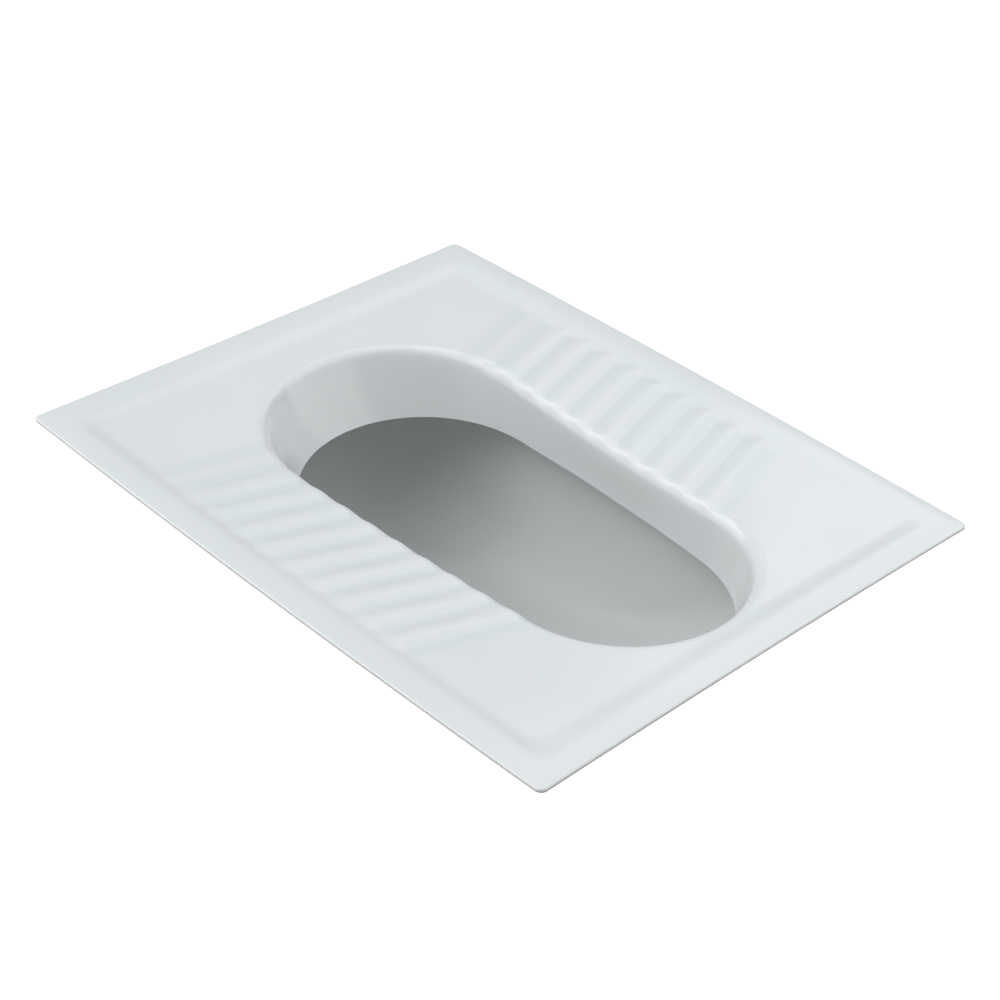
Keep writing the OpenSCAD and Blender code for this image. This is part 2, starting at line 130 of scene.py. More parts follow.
# Outlet spigot and its rubber ring, from the collar down
COLLAR_Z = -0.176
COLLAR_R = 0.057
SEAL_SEAT_Z = -0.184
SEAL_SEAT_R = 0.053
SPIGOT_Z = -0.202
SPIGOT_R = 0.051
BASE_Z = -0.228
CHAMFER = 0.002
SEAL_TOP = -0.185
SEAL_FOOT = -0.201
SEAL_R = 0.056
SEAL_LIP = 0.0015
SEAL_LIPS = 3
SEAL_GAP = 0.0002
SPIGOT_ROUND = 0.0008
SEAL_ROUND = 0.0003

# Flush inlet behind the rim
BOSS_Y = 0.254
WATERWAY_W = 0.076
WATERWAY_D = 0.022
WATERWAY_Z = -0.065
WATERWAY_WALL = 0.007
WINDOW_W = 0.056
WINDOW_LOW = -0.029
WINDOW_HIGH = -0.003
INLET_Z = -0.033
HORN_Y = 0.276
HORN_LEN = 0.024
HORN_R = 0.030
HORN_THROAT_R = 0.015
SOCKET_R = 0.023
SOCKET_D = 0.019
FLUSH_PIPE_R = 0.016
FLANGE_T = 0.004
FLANGE_R = 0.027
HORN_ROUND = 0.0015
SLEEVE_ROUND = 0.0006

# Webs and feet
WEB_T = 0.012
WEB_IN_X = 0.129
WEB_ROOT_X = 0.100
WEB_OUT_X = 0.200
WEB_Z = -0.068
WEB_FALL = 0.056
WEB_REAR_Y = 0.060
WEB_FRONT_Y = -0.110
FRONT_FOOT_W = 0.120
FRONT_FOOT_L = 0.060
FRONT_FOOT_Y = -0.170
FOOT_WALL = 0.012
REAR_FOOT_X = 0.095
REAR_FOOT_W = 0.044
REAR_FOOT_T = 0.018
CAST_ROUND = 0.003
LUTE_GAP = 0.0003

# Where bare china is painted low on the deck's edge as shade, and where the painted shade between the ribs
# stops outside them
EDGE_SHADE_LOW_Z = 0.0115
EDGE_SHADE_HIGH_Z = 0.0139
VALLEY_SHADE_FULL_X = 0.196
VALLEY_SHADE_END_X = 0.204

# Turns of face past which shading stays sharp: on lofted skins, on cast pieces and on rounded edges
SKIN_ANGLE = math.radians(40)
ROUNDED_ANGLE = math.radians(50)
BEVEL_ANGLE = math.radians(35)

# Steps of a ring of edges: the arcs of an egg, its two straight sides, and the deck's outline
ARC_STEPS = 432
EGG_LEAN = math.radians(2.87)
SIDE_STEPS = (2, 80)
STRAIGHT_REAR_Y = 0.1010
STRAIGHT_FRONT_Y = -0.1555
CORNER_STEPS = 6
REAR_EDGE_STEPS = 92
FRONT_EDGE_STEPS = 100
REAR_SIDE_STEPS = 59
FRONT_SIDE_STEPS = 48
FULL_RING = ARC_STEPS + 2 * (SIDE_STEPS[0] * SIDE_STEPS[1] - 1)
TURNED_STEPS = 128
NEAR = 1e-5
LEAST_WEIGHT = 0.001


# ------------------------------------------------------------------ mesh work by operators

def start(name):
    """Opens a new, empty piece for editing."""
    bpy.ops.object.select_all(action="DESELECT")
    mesh = bpy.data.meshes.new(name)
    piece = bpy.data.objects.new(name, mesh)
    bpy.context.scene.collection.objects.link(piece)
    bpy.context.view_layer.objects.active = piece
    piece.select_set(True)
    bpy.ops.object.mode_set(mode="EDIT")
    return piece


def in_hand():
    """The mesh that is being edited."""
    mesh = bmesh.from_edit_mesh(bpy.context.edit_object.data)
    mesh.verts.ensure_lookup_table()
    mesh.edges.ensure_lookup_table()
    return mesh


def pick(kind, chosen):
    """Selects only the vertices, edges or faces of the edited mesh that a test, given it, returns."""
    bpy.ops.mesh.select_mode(type=kind)
    bpy.ops.mesh.select_all(action="DESELECT")
    mesh = in_hand()
    for part in chosen(mesh):
        part.select_set(True)
    mesh.select_flush_mode()


def leave(piece):
    """Ends the editing: doubles merged, normals outwards, smooth shading up to an angle."""
    bpy.ops.mesh.select_all(action="SELECT")
    bpy.ops.mesh.remove_doubles(threshold=NEAR / 10)
    bpy.ops.mesh.normals_make_consistent(inside=False)
    bpy.ops.object.mode_set(mode="OBJECT")
    bpy.ops.object.shade_smooth_by_angle(angle=SKIN_ANGLE)
    return piece


def egg_ring(egg, z, sides=()):
    """Draws a ring of edges: a circle whose front half is moved and resized, with split sides."""
    bpy.ops.mesh.select_mode(type="VERT")
    bpy.ops.mesh.select_all(action="DESELECT")
    bpy.ops.mesh.primitive_circle_add(
        vertices=ARC_STEPS, radius=egg.r_rear, location=(0, egg.y_rear, z)
    )
    tangent_y = egg.y_rear - egg.r_rear * math.sin(EGG_LEAN)
    pick("VERT", lambda mesh: [v for v in mesh.verts[-ARC_STEPS:] if v.co.y < tangent_y])
    size = egg.r_front / egg.r_rear
    bpy.ops.transform.resize(value=(size, size, 1), center_override=(0, egg.y_rear, z))
    bpy.ops.transform.translate(value=(0, egg.y_front - egg.y_rear, 0))
    moved = [v.select for v in in_hand().verts[-ARC_STEPS:]]

    def straights(mesh):
        front = {v for v, here in zip(mesh.verts[-ARC_STEPS:], moved) if here}
        return [e for e in mesh.edges[-ARC_STEPS:] if (e.verts[0] in front) != (e.verts[1] in front)]

    pick("EDGE", straights)
    for steps in sides:
        bpy.ops.mesh.subdivide(number_cuts=steps - 1)


def deck_ring(inset, z, border=False):
    """Draws the deck's outline, or the panel's with border, drawn in by an inset, as a ring."""
    side = inset + (BORDER_SIDE if border else 0)
    rear = DECK_L / 2 - inset - (BORDER_REAR if border else 0)
    front = inset + (BORDER_FRONT if border else 0) - DECK_L / 2
    middle = (0, (rear + front) / 2, z)
    first = len(in_hand().verts)
    bpy.ops.mesh.select_mode(type="VERT")
    bpy.ops.mesh.select_all(action="DESELECT")
    bpy.ops.mesh.primitive_plane_add(size=1, location=middle)
    bpy.ops.transform.resize(value=(DECK_W - 2 * side, rear - front, 1), center_override=middle)
    bpy.ops.mesh.bevel(
        affect="VERTICES",
        offset=PANEL_CORNER if border else DECK_CORNER,
        segments=CORNER_STEPS,
    )
    bpy.ops.mesh.delete(type="ONLY_FACE")

    def fresh(mesh):
        return [e for e in mesh.edges if e.verts[0].index >= first]

    for y in (STRAIGHT_REAR_Y, STRAIGHT_FRONT_Y):
        pick("EDGE", fresh)
        bpy.ops.mesh.bisect(plane_co=(0, y, z), plane_no=(0, 1, 0))

    def split(along, test, *goes):
        def long_edges(mesh):
            picked = []
            for e in fresh(mesh):
                a, b = (v.co for v in e.verts)
                if abs((a - b)[1 - along]) < NEAR and e.calc_length() > 2 * PANEL_CORNER:
                    if test((a.y + b.y) / 2):
                        picked.append(e)
            return picked
        pick("EDGE", long_edges)
        for steps in goes:
            bpy.ops.mesh.subdivide(number_cuts=steps - 1)

    split(0, lambda y: y > 0, REAR_EDGE_STEPS)
    split(0, lambda y: y < 0, FRONT_EDGE_STEPS)
    split(1, lambda y: y > STRAIGHT_REAR_Y, REAR_SIDE_STEPS)
    split(1, lambda y: y < STRAIGHT_FRONT_Y, FRONT_SIDE_STEPS)
    split(1, lambda y: STRAIGHT_FRONT_Y < y < STRAIGHT_REAR_Y, *SIDE_STEPS)
    for v in in_hand().verts[first:]:
        v.co.x, v.co.y = bowed(v.co.x, v.co.y)


def bowed(x, y):
    """The slight bow of the long sides and pinch of the short ones, which firing leaves."""
    bow = 2 * SIDE_BOW / DECK_W * (1 - (2 * y / DECK_L) ** 2)
    pinch = 2 * END_PINCH / DECK_L * (1 - (2 * x / DECK_W) ** 2)
    return x * (1 + bow), y * (1 - pinch)


def join_rings(first, second, size, cuts=0):
    """Bridges two of the rings that were drawn, given by their order."""
    both = [n * size + i for n in (first, second) for i in range(size)]
    pick("VERT", lambda mesh: [mesh.verts[i] for i in both])
    bpy.ops.mesh.bridge_edge_loops(number_cuts=cuts, interpolation="LINEAR")


def join_all(count, size, cuts=None, closed=True):
    """Bridges each ring to the next, and the last to the first of a closed wall."""
    for i in range(count if closed else count - 1):
        join_rings(i, (i + 1) % count, size, (cuts or {}).get(i, 0))


def grown(egg, by):
    """An egg whose two circles are larger by an offset."""
    return egg._replace(r_rear=egg.r_rear + by, r_front=egg.r_front + by)


def finish_with(piece, kind, **settings):
    """Adds a modifier with these settings and applies it."""
    bpy.context.view_layer.objects.active = piece
    modifier = piece.modifiers.new(kind.lower(), kind)
    for key, value in settings.items():
        setattr(modifier, key, value)
    bpy.ops.object.modifier_apply(modifier=modifier.name)


def round_edges(piece, width, segments=3):
    """Rounds the sharp edges of a finished form and leaves its surfaces smooth."""
    finish_with(
        piece, "BEVEL", width=width, segments=segments, limit_method="ANGLE",
        angle_limit=BEVEL_ANGLE, harden_normals=False,
    )
    bpy.ops.object.shade_smooth_by_angle(angle=ROUNDED_ANGLE)


def combine(piece, other, operation, keep=False):
    """Joins another form to a piece, or takes its space out of it, and then drops the other form."""
    finish_with(piece, "BOOLEAN", operation=operation, object=other, solver="EXACT")
    if not keep:
        bpy.data.meshes.remove(other.data)


def turned(name, profile, centre):
    """A wall turned about an upright axis: rings extruded along a closed profile of (radius, z)."""
    piece = start(name)
    radius, z = profile[0]
    bpy.ops.mesh.primitive_circle_add(vertices=TURNED_STEPS, radius=radius, location=(*centre, z))
    for next_radius, next_z in profile[1:]:
        bpy.ops.mesh.extrude_edges_move()
        bpy.ops.transform.translate(value=(0, 0, next_z - z))
        size = next_radius / radius
        bpy.ops.transform.resize(value=(size, size, 1), center_override=(*centre, next_z))
        radius, z = next_radius, next_z
    last = (len(profile) - 1) * TURNED_STEPS
    ends = (*range(TURNED_STEPS), *range(last, last + TURNED_STEPS))
    pick("VERT", lambda mesh: [mesh.verts[i] for i in ends])
    bpy.ops.mesh.bridge_edge_loops()
    return leave(piece)


def box_piece(name, low, high):
    """A block between two corners, open for more shaping."""
    piece = start(name)
    middle = [(a + b) / 2 for a, b in zip(low, high)]
    bpy.ops.mesh.primitive_cube_add(size=1, location=middle)
    bpy.ops.transform.resize(value=[b - a for a, b in zip(low, high)], center_override=middle)
    return piece


def lay_back(piece, centre):
    """Turns a piece that was made upright about a centre, so that its top faces the rear."""
    turn = Matrix.Rotation(-math.pi / 2, 4, "X")
    piece.data.transform(Matrix.Translation(centre) @ turn @ Matrix.Translation(-Vector(centre)))


# ------------------------------------------------------------------ deck, lip and band

def lip_offset(draw, depth):
    """How far outside the opening's outline the lip or band lies, at a depth below the panel."""
    lean = math.atan2(draw, BAND_FALL)
    turn = math.pi / 2 - lean
    if depth < LIP_R * (1 - math.cos(turn)):
        return LIP_R * (math.tan(turn / 2) - math.sin(math.acos(1 - depth / LIP_R)))
    return -depth * math.tan(lean)


def throat(depth):
    """The egg that the lip and band make at a depth below the panel."""
    wide, narrow, rear, front = (lip_offset(draw, depth) for draw in BAND_DRAWS)
    r_rear = MOUTH.r_rear + wide
    r_front = MOUTH.r_front + narrow
    return Egg(
        r_rear,
        r_front,
        MOUTH.y_rear + MOUTH.r_rear + rear - r_rear,
        MOUTH.y_front - MOUTH.r_front - front + r_front,
    )


def smoothstep(low, high, value):
    """0 at low and before it, 1 at high and past it, and a smooth rise between them."""
    share = min(1.0, max(0.0, (value - low) / (high - low)))
    return share * share * (3 - 2 * share)


def y_at_rib_ends(x, y):
    """Where the slanted line through a place on the panel meets the ribs' outer ends."""
    return y + max(TREAD_OUTER_X - abs(x), 0.0) * math.tan(TREAD_SLANT)


def tread_height(x, y):
    """Share of a rib's full height above a place on the panel: one soft wave after another."""
    row = (y_at_rib_ends(x, y) - TREAD_FRONT_Y) / TREAD_PITCH
    across = row - min(TREADS - 1, max(0, round(row)))
    away = min(0.5, math.hypot(across, min(TREAD_OUTER_X - abs(x), 0.0) / TREAD_PITCH))
    return math.cos(math.pi * away) ** 2


def beside_mouth(x, y):
    """Distance of a place on the panel from the straight sides of the opening's outline."""
    share = (y - MOUTH.y_front) / (MOUTH.y_rear - MOUTH.y_front)
    return abs(x) - MOUTH.r_front - (MOUTH.r_rear - MOUTH.r_front) * share


def tread_weight(co):
    """Ribs sink towards the lip and fade down its roll; outside they run out on the step's foot."""
    depth = PANEL_Z - co.z
    if not -STEP_FOOT < depth < LIP_R:
        return 0
    risen = smoothstep(LIP_R, LIP_R + TREAD_RISE, beside_mouth(co.x, co.y))
    inner = TREAD_LIP_SHARE + (1 - TREAD_LIP_SHARE) * risen
    on_lip = 1 - smoothstep(0, LIP_R / 2, depth)
    on_step = 1 - smoothstep(0, STEP_FOOT, -depth)
    rear = 1 - (1 - FAINT_SHARE) * smoothstep(FAINT_FROM_Y, FAINT_TO_Y, co.y)
    return tread_height(co.x, co.y) * inner * on_lip * on_step * rear


def dish_weight(co):
    """The sag is deepest at the opening's sides and dies out towards the step and down the band."""
    if co.z > PANEL_Z + TREAD_H:
        return 0
    across = 1 - smoothstep(DISH_IN_X, DISH_OUT_X, abs(co.x))
    along = 1 - smoothstep(0, DISH_REACH, abs(co.y - DISH_Y))
    down = min(1.0, max(0.0, (co.z - BAND_Z) / (HAUNCH_Z - BAND_Z)))
    return across * along * down


def belly_weight(co):
    """The belly of the band's sides grows from the lip to the drip edge."""
    if co.z > HAUNCH_Z or abs(co.x) > DRIP.r_rear + 2 * BAND_T:
        return 0
    along = 1 - smoothstep(BELLY_FLAT, BELLY_REACH, abs(co.y - BELLY_Y))
    return along * smoothstep(HAUNCH_Z, BAND_Z, co.z)


def belly_out(piece):
    """Gives both sides of a piece the belly."""
    press(piece, "belly_right", lambda co: belly_weight(co) if co.x > 0 else 0, BELLY, "X")
    press(piece, "belly_left", lambda co: belly_weight(co) if co.x < 0 else 0, -BELLY, "X")


def press(piece, name, rule, strength, direction):
    """Raises or sinks a piece where a rule of place gives it weight."""
    group = piece.vertex_groups.new(name=name)
    for v in piece.data.vertices:
        weight = rule(v.co)
        if weight > LEAST_WEIGHT:
            group.add([v.index], weight, "REPLACE")
    finish_with(
        piece, "DISPLACE", vertex_group=name, strength=strength, mid_level=0, direction=direction,
    )
    piece.vertex_groups.clear()


def mark(piece, name, rule):
    """Writes a value at each point of a piece, worked out from its place and the way it faces."""
    values = piece.data.attributes.new(name, "FLOAT", "POINT")
    for v, value in zip(piece.data.vertices, values.data):
        value.value = rule(v.co, v.normal)


def bare_top_and_edge_shade(co, normal):
    """No glaze under the deck or behind the band; low on the deck's edge, bare china painted in as shade
    for the dark line along it.
    """
    within = abs(co.x) < DECK_W / 2 - SEAT_W and abs(co.y) < DECK_L / 2 - SEAT_W
    if normal.z > 0.3 or (within and co.z > -NEAR and normal.z > -0.5):
        return 0
    if co.z < 0:
        outwards = normal.x * co.x + normal.y * co.y > 0
        return 1 if outwards or normal.z < -0.7 else 0
    # Painted shade: a strip of bare china low on the deck's edge, darker than the glaze, stands for the
    # dark line along the edge
    return 1 - smoothstep(EDGE_SHADE_LOW_Z, EDGE_SHADE_HIGH_Z, co.z)


def shade_painted_on_top(co, normal):
    """Painted shade: 1 in the valleys between the ribs, which darkens them, and -1 down the lip and band,
    which tints them to their shaded tone.
    """
    depth = PANEL_Z - DISH_DEPTH - co.z
    if depth > 0 and not bare_top_and_edge_shade(co, normal):
        return -smoothstep(0, LIP_R, depth)
    if normal.z < 0.6 or abs(co.x) < MOUTH.r_front:
        return 0
    row = (y_at_rib_ends(co.x, co.y) - TREAD_FRONT_Y) / TREAD_PITCH
    beside = smoothstep(-1, -0.5, row) * (1 - smoothstep(TREADS - 0.5, TREADS, row))
    inside = 1 - smoothstep(VALLEY_SHADE_FULL_X, VALLEY_SHADE_END_X, abs(co.x))
    return beside * (1 - tread_height(co.x, co.y)) * inside


def bowl_bareness(co, normal):
    """No glaze on the outside of the bowl."""
    return 1 if normal.dot(co - Vector((0, 0, BAND_Z / 2))) > 0 else 0


def rim_bareness(co, normal):
    """No glaze on the outside of the rim's wall."""
    return 1 if abs(normal.z) < 0.9 and normal.x * co.x + normal.y * co.y > 0 else 0


def china_top():
    """Deck, rolled lip and inner band: one closed skin lofted through rings."""
    piece = start("china_top")
    deck_ring(0, 0)
    for i in range(EDGE_RINGS):
        turn = math.pi / 2 * i / (EDGE_RINGS - 1)
        deck_ring(EDGE_ROUND * (1 - math.cos(turn)), DECK_T - EDGE_ROUND * (1 - math.sin(turn)))
    for i in range(STEP_RINGS):
        share = i / (STEP_RINGS - 1)
        fall = LEVEL_FALL + (DECK_T - PANEL_Z - LEVEL_FALL) * smoothstep(0, 1, share)
        deck_ring(STEP_W * share, DECK_T - fall, border=True)
    outside = 1 + EDGE_RINGS + STEP_RINGS
    lip_depths = [LIP_R * (1 - math.cos(LIP_TURN * i / (LIP_RINGS - 1))) for i in range(LIP_RINGS)]
    lip_depths[0] = LEVEL_FALL
    rest = BAND_FALL - lip_depths[-1]
    depths = lip_depths + [lip_depths[-1] + rest * i / BAND_RINGS for i in range(1, BAND_RINGS + 1)]
    for depth in depths:
        egg_ring(throat(depth), PANEL_Z - depth, SIDE_STEPS)
    egg_ring(grown(DRIP, BAND_T), BAND_Z, SIDE_STEPS)
    egg_ring(grown(MOUTH, BAND_T), HAUNCH_Z, SIDE_STEPS)
    egg_ring(grown(MOUTH, HAUNCH_W), SEAT_LIP - LEVEL_FALL, SIDE_STEPS)
    deck_ring(SEAT_W, SEAT_LIP)
    deck_ring(SEAT_W, LEVEL_FALL)
    join_all(outside + len(depths) + 5, FULL_RING, {outside - 1: PANEL_CUTS})
    leave(piece)
    press(piece, "treads", tread_weight, TREAD_H, "NORMAL")
    press(piece, "dish", dish_weight, -DISH_DEPTH, "Z")
    belly_out(piece)
    mark(piece, "bare", bare_top_and_edge_shade)
    mark(piece, "painted_shade", shade_painted_on_top)
    return piece


# ------------------------------------------------------------------ bowl and outlet

def blend(first, second, share):
    """An egg part of the way from one to another."""
    return Egg(*(a + (b - a) * share for a, b in zip(first, second)))


def round_egg(radius):
    """An egg that is a circle about the outlet's axis."""
    return Egg(radius, radius, OUTLET_Y, OUTLET_Y)


def bowl_ring(share, wall=0.0):
    """Draws a ring of the bowl at a share of its fall, on its inside or a wall's thickness outside."""
    turn = math.pi / 2 * share
    egg = blend(grown(RIM, -BOWL_T), round_egg(OUTLET_BORE_R + OUTLET_ROUND), 1 - math.cos(turn))
    z = RIM_Z + (BOWL_Z - RIM_Z) * math.sin(turn)
    egg_ring(grown(egg, wall), z - wall * math.sin(turn) - (LEVEL_FALL if wall else 0))


def bowl():
    """Bowl from the underside of the rim to the outlet, with a rounded throat."""
    piece = start("pan_bowl")
    for i in range(BOWL_RINGS + 1):
        bowl_ring(i / BOWL_RINGS)
    for i in range(1, THROAT_RINGS + 1):
        turn = math.pi / 2 * i / THROAT_RINGS
        radius = OUTLET_BORE_R + OUTLET_ROUND * (1 - math.sin(turn))
        egg_ring(round_egg(radius), BOWL_Z - OUTLET_ROUND * (1 - math.cos(turn)))
    egg_ring(round_egg(OUTLET_BORE_R), COLLAR_Z)
    egg_ring(round_egg(COLLAR_R), COLLAR_Z + LEVEL_FALL)
    for i in range(BOWL_RINGS - 1, -1, -1):
        bowl_ring(i / BOWL_RINGS, BOWL_T)
    join_all(2 * BOWL_RINGS + THROAT_RINGS + 3, ARC_STEPS)
    leave(piece)
    mark(piece, "bare", bowl_bareness)
    return piece


def pan_outside(grow):
    """The space that rim and bowl fill, from the deck's underside to the collar, grown by a gap."""
    piece = start("pan_outside")
    egg_ring(grown(RIM, grow), PANEL_Z)
    egg_ring(grown(RIM, grow), RIM_Z)
    for i in range(1, BOWL_RINGS):
        bowl_ring(i / BOWL_RINGS, BOWL_T + grow)
    egg_ring(round_egg(COLLAR_R + grow), COLLAR_Z)
    count = BOWL_RINGS + 2
    join_all(count, ARC_STEPS, closed=False)
    for ring in (0, count - 1):
        pick("VERT", lambda mesh: mesh.verts[ring * ARC_STEPS:(ring + 1) * ARC_STEPS])
        bpy.ops.mesh.edge_face_add()
    return leave(piece)


def flush_rim():
    """Box rim round the band: outer wall, floor with its jets, and the boss and window at the rear."""
    piece = start("rim_box")
    egg_ring(RIM, RIM_Z)
    egg_ring(RIM, SEAT_LIP)
    egg_ring(grown(RIM, -RIM_WALL), SEAT_LIP - LEVEL_FALL)
    egg_ring(grown(RIM, -RIM_WALL), CHANNEL_Z)
    for z in (CHANNEL_Z + LEVEL_FALL, RIM_Z + LEVEL_FALL):
        beside = blend(DRIP, BAND_TOP, (z - BAND_Z) / (HAUNCH_Z - BAND_Z))
        egg_ring(grown(beside, BAND_T + LUTE_GAP), z)
    join_all(6, ARC_STEPS)
    leave(piece)
    belly_out(piece)
    rim_rear = RIM.y_rear + RIM.r_rear
    boss = box_piece(
        "boss",
        (-WATERWAY_W / 2, rim_rear - RIM_WALL / 2, RIM_Z),
        (WATERWAY_W / 2, BOSS_Y, SEAT_LIP),
    )
    combine(piece, leave(boss), "UNION")
    window = box_piece(
        "window",
        (-WINDOW_W / 2, rim_rear - 3 * RIM_WALL, WINDOW_LOW),
        (WINDOW_W / 2, BOSS_Y + RIM_WALL, WINDOW_HIGH),
    )
    combine(piece, leave(window), "DIFFERENCE")
    combine(piece, jets(), "DIFFERENCE")
    bpy.ops.object.shade_smooth_by_angle(angle=SKIN_ANGLE)
    mark(piece, "bare", rim_bareness)
    return piece


def jets():
    """The drills of the jets, in a row close outside the band."""
    middle = Egg(*grown(BAND_TOP, BAND_T + 2 * JET_R))
    places = []
    for count, radius, y, turn in (
        (JETS_REAR, middle.r_rear, middle.y_rear, 0),
        (JETS_FRONT, middle.r_front, middle.y_front, math.pi),
    ):
        for i in range(count):
            angle = turn + math.pi * (i + 0.5) / count
            places.append((radius * math.cos(angle), y + radius * math.sin(angle)))
    for i in range(JETS_SIDE):
        share = (i + 0.5) / JETS_SIDE
        x = middle.r_rear + (middle.r_front - middle.r_rear) * share
        y = middle.y_rear + (middle.y_front - middle.y_rear) * share
        places += [(x, y), (-x, y)]
    piece = start("jets")
    for x, y in places:
        bpy.ops.mesh.primitive_cylinder_add(
            vertices=JET_STEPS, radius=JET_R, depth=4 * RIM_WALL, location=(x, y, RIM_Z),
        )
    return leave(piece)


def outlet_spigot():
    """Spigot luted under the bowl: collar, seat of the seal and free end."""
    piece = turned("spigot", [
        (OUTLET_BORE_R, COLLAR_Z),
        (COLLAR_R, COLLAR_Z),
        (COLLAR_R, SEAL_SEAT_Z),
        (SEAL_SEAT_R, SEAL_SEAT_Z),
        (SEAL_SEAT_R, SPIGOT_Z),
        (SPIGOT_R, SPIGOT_Z),
        (SPIGOT_R, BASE_Z + CHAMFER),
        (SPIGOT_R - CHAMFER, BASE_Z),
        (OUTLET_BORE_R, BASE_Z),
    ], (0, OUTLET_Y))
    round_edges(piece, SPIGOT_ROUND)
    return piece


def outlet_seal():
    """Rubber ring on the spigot, with three lips that point up its side."""
    inner = SEAL_SEAT_R + SEAL_GAP
    pitch = (SEAL_TOP - SEAL_FOOT) / SEAL_LIPS
    profile = [(inner, SEAL_FOOT)]
    for i in range(SEAL_LIPS):
        z = SEAL_FOOT + i * pitch
        profile += [(SEAL_R, z), (SEAL_R + SEAL_LIP, z + pitch / 2), (SEAL_R, z + pitch / 2)]
    profile += [(SEAL_R, SEAL_TOP), (inner, SEAL_TOP)]
    piece = turned("outlet_ring", profile, (0, OUTLET_Y))
    round_edges(piece, SEAL_ROUND)
    return piece


# ------------------------------------------------------------------ flush inlet, webs and feet

def rear_waterway():
    """Hollow box behind the rim, open to the rim's window in front and to the horn behind."""
    rear_y = BOSS_Y + WATERWAY_D
    piece = box_piece(
        "waterway",
        (-WATERWAY_W / 2, BOSS_Y, WATERWAY_Z),
        (WATERWAY_W / 2, rear_y, SEAT_LIP),
    )
    leave(piece)
    round_edges(piece, CAST_ROUND)
    space = box_piece(
        "waterway_space",
        (-WINDOW_W / 2, BOSS_Y - WATERWAY_WALL, WATERWAY_Z + WATERWAY_WALL),
        (WINDOW_W / 2, rear_y - WATERWAY_WALL, SEAT_LIP - WATERWAY_WALL),
    )
    combine(piece, leave(space), "DIFFERENCE")
    hole = start("horn_hole")
    bpy.ops.mesh.primitive_cylinder_add(
        vertices=TURNED_STEPS,
        radius=HORN_THROAT_R,
        depth=2 * WATERWAY_WALL + NEAR,
        location=(0, HORN_Y, INLET_Z),
        rotation=(math.pi / 2, 0, 0),
    )
    combine(piece, leave(hole), "DIFFERENCE")
    bpy.ops.object.shade_smooth_by_angle(angle=SKIN_ANGLE)
    return piece


def inlet_horn():
    """Round horn behind the waterway, with the socket for the seal."""
    floor_z = INLET_Z + HORN_LEN - SOCKET_D
    piece = turned("horn", [
        (HORN_THROAT_R, INLET_Z),
        (HORN_R, INLET_Z),
        (HORN_R, INLET_Z + HORN_LEN),
        (SOCKET_R, INLET_Z + HORN_LEN),
        (SOCKET_R, floor_z),
        (HORN_THROAT_R, floor_z),
    ], (0, HORN_Y))
    round_edges(piece, HORN_ROUND)
    lay_back(piece, (0, HORN_Y, INLET_Z))
    return piece


def inlet_seal():
    """Rubber sleeve in the horn's socket, with a flange over the horn's end."""
    end_z = INLET_Z + HORN_LEN
    piece = turned("inlet_ring", [
        (FLUSH_PIPE_R, end_z - SOCKET_D + SEAL_GAP),
        (SOCKET_R - SEAL_GAP, end_z - SOCKET_D + SEAL_GAP),
        (SOCKET_R - SEAL_GAP, end_z + SEAL_GAP),
        (FLANGE_R, end_z + SEAL_GAP),
        (FLANGE_R, end_z + SEAL_GAP + FLANGE_T),
        (FLUSH_PIPE_R, end_z + SEAL_GAP + FLANGE_T),
    ], (0, HORN_Y))
    round_edges(piece, SLEEVE_ROUND)
    lay_back(piece, (0, HORN_Y, INLET_Z))
    return piece


def deck_web(place, sign, y, outside):
    """Web under the deck, deep beside the pan and shallow at its outer end."""
    piece = box_piece(
        "web_" + place, (WEB_ROOT_X, y - WEB_T / 2, WEB_Z), (WEB_IN_X, y + WEB_T / 2, SEAT_LIP),
    )
    pick("FACE", lambda mesh: [f for f in mesh.faces if f.calc_center_median().x > WEB_IN_X - NEAR])
    bpy.ops.mesh.extrude_region_move(TRANSFORM_OT_translate={"value": (WEB_OUT_X - WEB_IN_X, 0, 0)})
    pick("VERT", lambda mesh: [v for v in mesh.verts if v.co.x > WEB_OUT_X - NEAR and v.co.z < 0])
    bpy.ops.transform.translate(value=(0, 0, WEB_FALL))
    bpy.ops.mesh.select_all(action="SELECT")
    bpy.ops.transform.resize(value=(sign, 1, 1), center_override=(0, 0, 0))
    leave(piece)
    round_edges(piece, CAST_ROUND)
    combine(piece, outside, "DIFFERENCE", keep=True)
    bpy.ops.object.shade_smooth_by_angle(angle=SKIN_ANGLE)
    return piece


def front_foot(outside):
    """Hollow foot under the shallow front of the bowl."""
    half_w = FRONT_FOOT_W / 2
    half_l = FRONT_FOOT_L / 2
    piece = box_piece(
        "foot_front",
        (-half_w, FRONT_FOOT_Y - half_l, BASE_Z),
        (half_w, FRONT_FOOT_Y + half_l, RIM_Z),
    )
    leave(piece)
    round_edges(piece, CAST_ROUND)
    inner_w = half_w - FOOT_WALL
    inner_l = half_l - FOOT_WALL
    hollow = box_piece(
        "foot_hollow",
        (-inner_w, FRONT_FOOT_Y - inner_l, BASE_Z - FOOT_WALL),
        (inner_w, FRONT_FOOT_Y + inner_l, PANEL_Z),
    )
    combine(piece, leave(hollow), "DIFFERENCE")
    combine(piece, outside, "DIFFERENCE", keep=True)
    bpy.ops.object.shade_smooth_by_angle(angle=SKIN_ANGLE)
    return piece


def rear_foot(side, sign, outside):
    """Leg beside the outlet."""
    inner = sign * REAR_FOOT_X - REAR_FOOT_W / 2
    piece = box_piece(
        "foot_" + side,
        (inner, OUTLET_Y - REAR_FOOT_T / 2, BASE_Z),
        (inner + REAR_FOOT_W, OUTLET_Y + REAR_FOOT_T / 2, RIM_Z),
    )
    leave(piece)
    round_edges(piece, CAST_ROUND)
    combine(piece, outside, "DIFFERENCE", keep=True)
    bpy.ops.object.shade_smooth_by_angle(angle=SKIN_ANGLE)
    return piece


# ------------------------------------------------------------------ finishes

